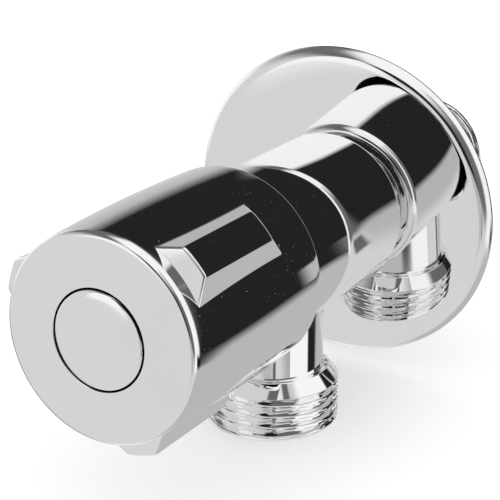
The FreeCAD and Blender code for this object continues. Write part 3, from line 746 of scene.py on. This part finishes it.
@dataclass
class Barrel:
    """The valve body: inlet stub, barrel and outlet as one chromed forging.

    Attributes:
        lead: the chamfer at the start of a thread.
        shank_radius: the radius of the plain stretch that carries the flange.
        bed_radius: the radius of the bore in which the headwork's cage is bedded.
        gallery_radius: the radius of the chamber round the cage's windows.
        mouth_radius: the radius of the bore into which the headwork screws.
        beyond: how far a cutter reaches past what it cuts.
    """

    pipe_radius: float = 0.0104775
    pitch: float = 0.001814
    lead: float = 0.001
    body_radius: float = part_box("valve_body")[1].x
    inlet_end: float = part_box("valve_body")[1].y
    front: float = -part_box("valve_body")[0].y
    outlet_end: float = -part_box("valve_body")[0].z
    length: float = 0.0362
    shoulder: float = front - length
    rear_round: float = 0.00135
    lip: float = 0.0004
    shank_radius: float = 0.0101975
    shank_place: float = 0.0005
    inlet_bore: float = 0.0065
    strainer_bore: float = 0.0076
    strainer_depth: float = 0.0022
    seat_depth: float = 0.0265
    seat: float = front - seat_depth
    bed_radius: float = 0.0094
    bed_length: float = 0.0045
    bed_front: float = seat + bed_length
    gallery_radius: float = 0.0112
    mouth_depth: float = 0.011
    gallery_front: float = front - mouth_depth
    mouth_radius: float = 0.010223
    outlet_offset: float = 0.0194
    outlet_place: float = shoulder + outlet_offset
    neck_radius: float = 0.008
    collar_drop: float = 0.0198
    collar_height: float = 0.002
    collar_step: float = 0.0009
    collar_round: float = 0.0003
    outlet_bore: float = 0.0045
    beyond: float = 0.001
    arc_steps: int = 10

    def build(self) -> None:
        """Build the body's mesh and dress it."""
        down = Lathe(FORWARD * self.outlet_place, DOWN)
        drill = stepped(0, (self.outlet_bore, self.outlet_end + self.beyond))
        thing = object_of(self.outer(), "valve_body_chrome")
        carve(thing, self.outlet(down), Carving.ADD)
        carve(thing, self.waterway(), Carving.CUT)
        carve(thing, down.solid(drill), Carving.CUT)
        polish(thing)
        finish_piece(thing, Slot.polished_chrome, "root", "valve_body")

    def outer(self) -> Mesh:
        """Turn the stub and the barrel, still without their bore.

        Returns:
            A solid that ends at the body's mouth.
        """
        thread = PipeThread(self.pipe_radius, self.pitch, -(self.inlet_end - self.lead),
                            self.shank_place, self.pitch / 2)
        made = VALVE_LATHE.solid([
            Corner(0, -self.inlet_end), Corner(self.pipe_radius - self.lead, -self.inlet_end),
            *thread.blank(),
            Corner(self.shank_radius, self.shank_place),
            Corner(self.shank_radius, self.shoulder),
            Corner(self.body_radius, self.shoulder, self.rear_round),
            Corner(self.body_radius, self.front, self.lip),
            Corner(0, self.front),
        ], self.arc_steps)
        VALVE_LATHE.reshape(made, thread.cut)
        return made

    def waterway(self) -> Mesh:
        """Turn the hollow that runs from the inlet to the body's mouth.

        Returns:
            A solid to cut away, which sticks out at both ends.
        """
        return VALVE_LATHE.solid(stepped(
            -self.inlet_end - self.beyond,
            (self.strainer_bore, -self.inlet_end + self.strainer_depth),
            (self.inlet_bore, self.seat),
            (self.bed_radius, self.bed_front),
            (self.gallery_radius, self.gallery_front),
            (self.mouth_radius, self.front + self.beyond),
        ))

    def outlet(self, lathe: Lathe) -> Mesh:
        """Turn the outlet's neck, collar and thread.

        Args:
            lathe: the lathe on the outlet's axis.

        Returns:
            A solid that starts on the valve's axis.
        """
        lead = self.lead / 2
        foot = self.collar_drop + self.collar_height
        thread = PipeThread(self.pipe_radius, self.pitch, foot, self.outlet_end - lead,
                            self.pitch / 3)
        made = lathe.solid([
            Corner(0, 0), Corner(self.neck_radius, 0),
            Corner(self.neck_radius, self.collar_drop, self.collar_round),
            Corner(self.neck_radius + self.collar_step, self.collar_drop, self.collar_round),
            *thread.blank(),
            Corner(self.pipe_radius - lead, self.outlet_end), Corner(0, self.outlet_end),
        ])
        lathe.reshape(made, thread.cut)
        return made


@dataclass
class WallFlange:
    """The pressed cover plate, which leans on its stub until its rolled rim meets the wall.

    Attributes:
        flare: how much wider the rim is at the wall than at the face.
        flat_radius: the distance from the axis beyond which the face sags towards the rim.
        sag: the factor of that sag, which grows with the cube of the distance.
        roll_gap: the distance from the last ring of the sag to the rim's arc.
    """

    rim_radius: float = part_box("wall_flange")[1].x
    lean: float = math.radians(4.7)
    depth: float = 0.0024
    flare: float = 0.0001
    wall: float = 0.0009
    roll: float = 0.002
    roll_gap: float = 0.0001
    edge_share: float = 0.3
    bore_radius: float = 0.0110775
    flat_radius: float = 0.0185
    sag: float = 620.0
    sag_steps: int = 16
    segments: int = 256
    arc_steps: int = 14

    def build(self) -> None:
        """Spin the plate's section and dress it."""
        back = Vector((0, -self.rim_radius * math.sin(self.lean), 0))
        along = Vector((0, -math.cos(self.lean), -math.sin(self.lean)))
        shoulder = self.rim_radius - self.flare
        inner = self.depth - self.wall
        edge = self.wall * self.edge_share
        made = Lathe(back, along, self.segments).solid([
            Corner(self.bore_radius, inner),
            Corner(shoulder - self.wall, inner, self.roll - self.wall),
            Corner(self.rim_radius - self.wall, 0), Corner(self.rim_radius, 0, edge),
            *self.face(shoulder),
            Corner(self.bore_radius, self.depth, edge),
        ], self.arc_steps)
        thing = object_of(made, "wall_flange_chrome")
        polish(thing)
        finish_piece(thing, Slot.flange_chrome, "flange", "wall_flange")

    def face(self, shoulder: float) -> list[Corner]:
        """Lay out the front face from the rolled rim inwards.

        Args:
            shoulder: the face's outer radius, before the rim is rolled.

        Returns:
            The rim's rounded corner, then the sagging rings up to the flat middle.
        """
        reach = shoulder - self.roll - self.roll_gap - self.flat_radius
        slope = 3 * self.sag * reach ** 2
        fall = self.sag * reach ** 3 + slope * (self.roll + self.roll_gap)
        corners = [Corner(shoulder, self.depth - fall, self.roll)]
        for step in range(self.sag_steps, -1, -1):
            out = reach * step / self.sag_steps
            corners.append(Corner(self.flat_radius + out, self.depth - self.sag * out ** 3))
        return corners


@dataclass
class HandleShell:
    """The barrel handle with three long lugs, hollow behind and recessed in front.

    Attributes:
        swell: how much the barrel stands out half way along.
        lug_draft: how much a lug's front end leans back.
        lug_ramp: the length of the slope at a lug's rear end.
        lug_top: half the width of a lug's top.
        lug_foot: half the width of its foot, which lies inside the barrel's wall.
        lug_sharp: the angle between two faces of a lug from which their edge is rounded.
    """

    rear: float = -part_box("handle_shell")[1].y
    front: float = -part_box("handle_shell")[0].y
    rear_radius: float = 0.01525
    front_radius: float = 0.0148
    swell: float = 0.0004
    bevel: float = 0.0008
    lip: float = 0.0003
    mouth_radius: float = 0.01465
    mouth_depth: float = 0.0035
    skirt_bore: float = 0.0136
    cavity_taper: float = 0.0006
    front_wall: float = 0.0022
    lug_radius: float = 0.01765
    lug_turn: float = math.radians(43.3)
    lug_count: int = 3
    lug_setback: float = 0.003
    lug_front: float = front - lug_setback
    lug_draft: float = 0.0006
    lug_length: float = 0.0221
    lug_rear: float = lug_front - lug_length
    lug_ramp: float = 0.0044
    lug_top: float = 0.0023
    lug_foot: float = 0.0063
    lug_root: float = 0.0138
    lug_edge: float = 0.0003
    lug_edge_steps: int = 6
    lug_sharp: float = 0.3
    lug_steps: int = 12
    recess_radius: float = 0.0074
    recess_lip: float = 0.0002
    recess_round: float = 0.00015
    lip_depth: float = 0.0011
    recess_depth: float = 0.0072
    hub_radius: float = 0.009
    hub_depth: float = 0.0195
    hub_rear: float = front - hub_depth
    screw_hole: float = 0.0022
    segments: int = 320
    arc_steps: int = 8
    skin_steps: int = 24
    crease: float = 21.0

    def build(self) -> None:
        """Turn the shell, add its lugs and dress it."""
        lathe = Lathe(ORIGIN, FORWARD, self.segments)
        thing = object_of(lathe.turn(self.section(), True), "handle_shell_chrome")
        for number in range(self.lug_count):
            turn = self.lug_turn + FULL_TURN * number / self.lug_count
            carve(thing, self.lug(turn), Carving.ADD)
        polish(thing, self.crease)
        finish_piece(thing, Slot.handle_chrome, "handle", "handle_shell")

    def section(self) -> list[Vector]:
        """Draw the shell's half section.

        Returns:
            Its points, from the skirt's mouth over the outside and the recess to the cavity.
        """
        cavity = self.front - self.front_wall
        mouth = self.recess_radius - self.recess_lip
        floor = self.front - self.recess_depth
        return rounded([
            Corner(self.skirt_bore, self.rear + self.mouth_depth),
            Corner(self.mouth_radius, self.rear),
            Corner(self.rear_radius, self.rear, self.lip),
            *(self.skin(step / self.skin_steps) for step in range(1, self.skin_steps)),
            Corner(self.front_radius, self.front, self.bevel),
            Corner(mouth, self.front, self.recess_round),
            Corner(mouth, self.front - self.lip_depth),
            Corner(self.recess_radius, self.front - self.lip_depth),
            Corner(self.recess_radius, floor),
            Corner(self.screw_hole, floor),
            Corner(self.screw_hole, self.hub_rear),
            Corner(self.hub_radius, self.hub_rear),
            Corner(self.hub_radius, cavity),
            Corner(self.skirt_bore - self.cavity_taper, cavity),
        ], True, self.arc_steps)

    def skin(self, share: float) -> Corner:
        """A corner of the slightly swollen barrel, at a share of its length from the rear."""
        taper = self.rear_radius + (self.front_radius - self.rear_radius) * share
        return Corner(taper + self.swell * 4 * share * (1 - share),
                      self.rear + (self.front - self.rear) * share)

    def lug(self, turn: float) -> Mesh:
        """Make one lug with sloping flanks, a ramp behind and all its edges rounded.

        Args:
            turn: its angle round the valve's axis, from +X towards +Z.

        Returns:
            A solid whose foot lies inside the barrel's wall.
        """
        rise = self.lug_radius - self.rear_radius
        made = bmesh.new()
        rows: list[list[bmesh.types.BMVert]] = []
        for radius, half in ((self.lug_root, self.lug_foot), (self.lug_radius, self.lug_top)):
            climb = (radius - self.rear_radius) / rise
            rear = self.lug_rear + climb * self.lug_ramp
            front = self.lug_front - climb * self.lug_draft
            rows += [self.arc(made, radius, half, place) for place in (rear, front)]
        foot_rear, foot_front, top_rear, top_front = rows
        ring = (foot_rear, foot_front, top_front, top_rear)
        for near, far in zip(ring, ring[1:] + ring[:1]):
            for step in range(self.lug_steps):
                made.faces.new((near[step], near[step + 1], far[step + 1], far[step]))
        for end in (0, -1):
            made.faces.new([row[end] for row in ring])
        bmesh.ops.recalc_face_normals(made, faces=made.faces)
        sharp = [edge for edge in made.edges if edge.calc_face_angle(0.0) > self.lug_sharp]
        bmesh.ops.bevel(made, geom=sharp, offset=self.lug_edge, affect="EDGES",
                        segments=self.lug_edge_steps, profile=0.5, material=-1)
        bmesh.ops.rotate(made, verts=made.verts, cent=ORIGIN,
                         matrix=Matrix.Rotation(-turn, 3, "Y"))
        bmesh.ops.recalc_face_normals(made, faces=made.faces)
        return made

    def arc(self, made: Mesh, radius: float, half: float,
            place: float) -> list[bmesh.types.BMVert]:
        """Add a row of points across a lug, at one distance from the axis and one place on it."""
        sides = [half * (2 * step / self.lug_steps - 1) for step in range(self.lug_steps + 1)]
        return [made.verts.new((math.sqrt(radius ** 2 - side ** 2), -place, side))
                for side in sides]


@dataclass
class IndexButton:
    """The round cap in the middle of the handle's front.

    Attributes:
        side_gap: how much narrower the cap is than its solid.
        crown: how much lower its edge is than its middle.
        edge_drop: how much lower still the rolled edge ends.
        edge_reach: how far in from the edge the roll starts.
        roll_share: the share of a quarter circle that the roll takes.
        groove_depth: the depth of the groove that holds the soft ring.
    """

    front: float = -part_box("index_button")[0].y
    rear: float = -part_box("index_button")[1].y
    side_gap: float = 0.0002
    radius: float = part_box("index_button")[1].x - side_gap
    crown: float = 0.00012
    edge_drop: float = 0.00033
    edge_reach: float = 0.0012
    roll_share: float = 0.97
    rim: float = 0.0011
    skirt_inset: float = 0.0006
    skirt_wall: float = 0.0014
    groove_depth: float = 0.0004
    groove_width: float = 0.0013
    skin_steps: int = 12

    def build(self) -> None:
        """Spin the domed cap with its hollow skirt and dress it."""
        under = self.front - self.rim
        outer = self.radius - self.skirt_inset
        inner = outer - self.skirt_wall
        groove = outer - self.groove_depth
        groove_front = under - self.groove_width
        groove_rear = groove_front - self.groove_width
        steps = self.skin_steps
        inside = self.radius - self.edge_reach
        reaches = [self.radius - self.edge_reach * step / steps for step in range(steps)]
        reaches += [inside * (1 - step / steps) for step in range(steps + 1)]
        dome = [Vector((reach, self.skin(reach))) for reach in reaches]
        base = rounded([
            Corner(0, under), Corner(inner, under), Corner(inner, self.rear),
            Corner(outer, self.rear), Corner(outer, groove_rear), Corner(groove, groove_rear),
            Corner(groove, groove_front), Corner(outer, groove_front), Corner(outer, under),
            Corner(self.radius, under),
        ], False)
        thing = object_of(VALVE_LATHE.turn(base + dome, False), "index_button_chrome")
        polish(thing)
        finish_piece(thing, Slot.button_chrome, "handle", "index_button")

    def skin(self, reach: float) -> float:
        """Shape the cap's front: a shallow crown that rolls over at the edge.

        Args:
            reach: a distance from the axis.

        Returns:
            The front's place there.
        """
        crown = self.crown * (reach / self.radius) ** 2
        share = max(0.0, reach - (self.radius - self.edge_reach)) / self.edge_reach
        roll = 1 - math.sqrt(1 - (share * self.roll_share) ** 2)
        return self.front - crown - self.edge_drop * roll


@dataclass
class Headwork:
    """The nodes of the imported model: the headwork, seals, screw and strainer keep their meshes."""

    parts: Sequence[Mapping[str, str]] = tuple(frame["record"]["subparts"])

    def build(self) -> None:
        """Give each node its finish."""
        for part in self.parts:
            slot = Slot[part["material_slot"]]
            paint(frame["nodes"][part["node"]], slot)
            LOG.info("%s: %s", part["node"], slot.name)


# The studio

@dataclass
class Studio:
    """A white floor and a world of soft bands and cards that the polished metal sees."""

    floor_size: float = 6.0
    floor_height: float = CAD_BOX[0].z
    floor_colour: Colour = (0.86, 0.86, 0.86)
    floor_glow: float = 0.27
    backdrop: Colour = (1.0, 1.0, 1.0)
    even_light: Colour = (1.05, 1.05, 1.05)

    def build(self) -> None:
        """Make the floor and paint the world."""
        self.floor()
        self.world()

    def floor(self) -> None:
        """A plain floor that the valve stands on."""
        made = bmesh.new()
        bmesh.ops.create_grid(made, x_segments=1, y_segments=1, size=self.floor_size / 2)
        bmesh.ops.translate(made, verts=made.verts, vec=(0, 0, self.floor_height))
        thing = object_of(made, "floor")
        thing.visible_glossy = False
        material = bpy.data.materials.new("floor")
        material.use_nodes = True
        graph = Graph(material.node_tree)
        matt = graph.add("BsdfDiffuse", {"Color": self.floor_colour})
        lift = graph.out(graph.add("LightPath"), "Is Camera Ray") * self.floor_glow
        glow = graph.add("Emission", {"Color": self.backdrop, "Strength": lift})
        both = graph.add("AddShader", {0: graph.out(matt), 1: graph.out(glow)})
        graph.add("OutputMaterial", {"Surface": graph.out(both)})
        thing.data.materials.append(material)

    def world(self) -> None:
        """Paint what the polished metal sees, and light everything else evenly."""
        world = bpy.data.worlds.new("studio")
        bpy.context.scene.world = world
        world.use_nodes = True
        graph = Graph(world.node_tree)
        direction = graph.out(graph.add("TexCoord"), "Generated")
        way = graph.add("SeparateXYZ", {0: direction})
        turn = graph.maths("ARCTAN2", graph.out(way, "Z"), graph.out(way, "X")) / FULL_TURN
        turn = (turn + 1.0).maths("FRACT")
        depth = graph.out(way, "Y")
        seen = None
        for layer in LAYERS:
            stops = [(angle / FULL_TURN_DEGREES, tone) for angle, tone in layer.bands]
            bands = graph.ramp(turn, stops)
            share = graph.spread(depth, layer.start, layer.full)
            seen = graph.blend(share, seen, bands) if seen else bands
        for card in CARDS:
            seen = graph.blend(self.window(graph, card, turn, depth), seen, card.colour)
        path = graph.add("LightPath")
        glossy = graph.out(path, "Is Glossy Ray")
        plain = graph.blend(graph.out(path, "Is Camera Ray"), self.even_light, self.backdrop)
        colour = graph.blend(glossy, plain, seen)
        ground = graph.add("Background", {"Color": colour, "Strength": 1.0})
        graph.add("OutputWorld", {"Surface": graph.out(ground)})

    @staticmethod
    def window(graph: Graph, card: "Card", turn: Signal, depth: Signal) -> Signal:
        """Find how much of a direction a card covers.

        Args:
            graph: the world's graph.
            card: the card.
            turn: the direction's angle round the valve's axis, as a share of a full turn.
            depth: the +Y part of the direction.

        Returns:
            1 on the card, and 0 beside it.
        """
        middle, half, edge, slant = (
            angle / FULL_TURN_DEGREES for angle in (card.middle, card.half, card.soft, card.slant))
        drift = (depth - (card.low + card.high) / 2) * slant
        # Taking the fraction this way keeps the offset within half a turn to either side.
        offset = (turn - middle - drift + 1.5).maths("FRACT") - 0.5
        across = graph.spread(offset.maths("ABSOLUTE"), half - edge, half + edge, 1.0, 0.0)
        above = graph.spread(depth, card.low - card.blur, card.low + card.blur)
        below = graph.spread(depth, card.high - card.blur, card.high + card.blur, 1.0, 0.0)
        return across * above * below


def shown(level: float) -> Colour:
    """Turn a screen's grey into the light that gives it."""
    return (((level / SCREEN_WHITE + SCREEN_OFFSET) / (1 + SCREEN_OFFSET)) ** SCREEN_GAMMA,) * 3


class Layer(NamedTuple):
    """Bands round the valve's axis, laid over the layers before it.

    Attributes:
        start: the +Y part of a direction at which the layer starts to show.
        full: the +Y part from which it hides the layers before it.
        bands: angles in degrees from +X towards +Z, each with its tone.
    """

    start: float
    full: float
    bands: tuple[tuple[float, Colour], ...]


class Card(NamedTuple):
    """A soft-edged patch of the studio.

    Attributes:
        middle: the angle of its middle round the valve's axis, in degrees.
        half: half the angle that it takes up.
        low: the least +Y part of the directions that it covers.
        high: the greatest.
        soft: the angle by which its sides fade.
        blur: the +Y part by which its ends fade.
        slant: the angle that it leans over a +Y part of 1.
    """

    middle: float
    half: float
    low: float
    high: float
    colour: Colour
    soft: float = 2.0
    blur: float = 0.01
    slant: float = 0.0


# The studio's tones: plain greys.
WHITE = shown(250)
PALE = shown(215)
MIDDLE = shown(185)
DIM = shown(105)
BLACK = shown(35)

LAYERS = (
    # Straight ahead of the handle.
    Layer(-1.0, -1.0, ((0, PALE),)),
    # Ahead, round that middle.
    Layer(-0.98, -0.95, (
        (0, BLACK), (110, BLACK), (120, WHITE), (200, WHITE), (215, PALE), (270, PALE),
        (300, MIDDLE), (335, MIDDLE), (345, BLACK),
    )),
    # Obliquely ahead.
    Layer(-0.82, -0.76, (
        (0, DIM), (35, DIM), (65, WHITE), (100, WHITE), (115, DIM), (130, DIM), (160, PALE),
        (330, PALE), (340, DIM),
    )),
    # Beside the valve.
    Layer(-0.25, 0.0, (
        (0, WHITE), (105, WHITE), (115, DIM), (140, DIM), (165, WHITE), (190, WHITE), (205, DIM),
        (225, DIM), (245, WHITE), (270, MIDDLE), (320, MIDDLE), (340, WHITE),
    )),
    # Towards the wall.
    Layer(0.67, 0.72, (
        (0, BLACK), (140, BLACK), (160, MIDDLE), (200, PALE), (240, MIDDLE), (320, MIDDLE),
        (330, BLACK),
    )),
)

CARDS = (
    Card(340.0, 10.0, 0.85, 0.95, MIDDLE),
    Card(130.0, 10.0, 0.85, 0.95, DIM, 8.0),
    Card(320.0, 10.0, -0.78, -0.72, DIM, 3.0),
    Card(50.0, 10.0, -0.37, -0.25, DIM, 3.0, 0.02),
    Card(335.0, 7.0, -0.3, 0.4, WHITE, 3.0, 0.02),
    Card(330.0, 6.0, 0.43, 0.73, BLACK, 3.0, 0.03, -40.0),
)


@dataclass
class PhotoCamera:
    """The camera, at the photograph's viewing angle."""

    target: Vector = field(default_factory=lambda: Vector((0.00296, -0.03817, 0.00273)))
    distance: float = 0.2312
    azimuth: float = math.radians(30.17)
    elevation: float = math.radians(19.14)
    lens: float = 114.155
    sensor: float = 36.0
    nearest: float = 0.01

    def build(self) -> None:
        """Place the camera and make it the scene's own."""
        back = Vector((
            math.sin(self.azimuth) * math.cos(self.elevation),
            -math.cos(self.azimuth) * math.cos(self.elevation),
            math.sin(self.elevation),
        ))
        data = bpy.data.cameras.new("photo_camera")
        data.sensor_width = self.sensor
        data.lens = self.lens
        data.clip_start = self.nearest
        camera = bpy.data.objects.new("photo_camera", data)
        bpy.context.scene.collection.objects.link(camera)
        camera.location = self.target + back * self.distance
        camera.rotation_euler = back.to_track_quat("Z", "Y").to_euler()
        bpy.context.scene.camera = camera


def main() -> None:
    """Build the valve's looks piece by piece, then the studio round it."""
    logging.basicConfig(level=logging.INFO, format="%(name)s %(message)s")
    for slot in Slot:
        MATERIALS[slot] = slot.value.material()
    Headwork().build()
    Barrel().build()
    WallFlange().build()
    HandleShell().build()
    IndexButton().build()
    Studio().build()
    PhotoCamera().build()
    bpy.context.scene.view_settings.view_transform = "Standard"


if __name__ == "__main__":
    main()
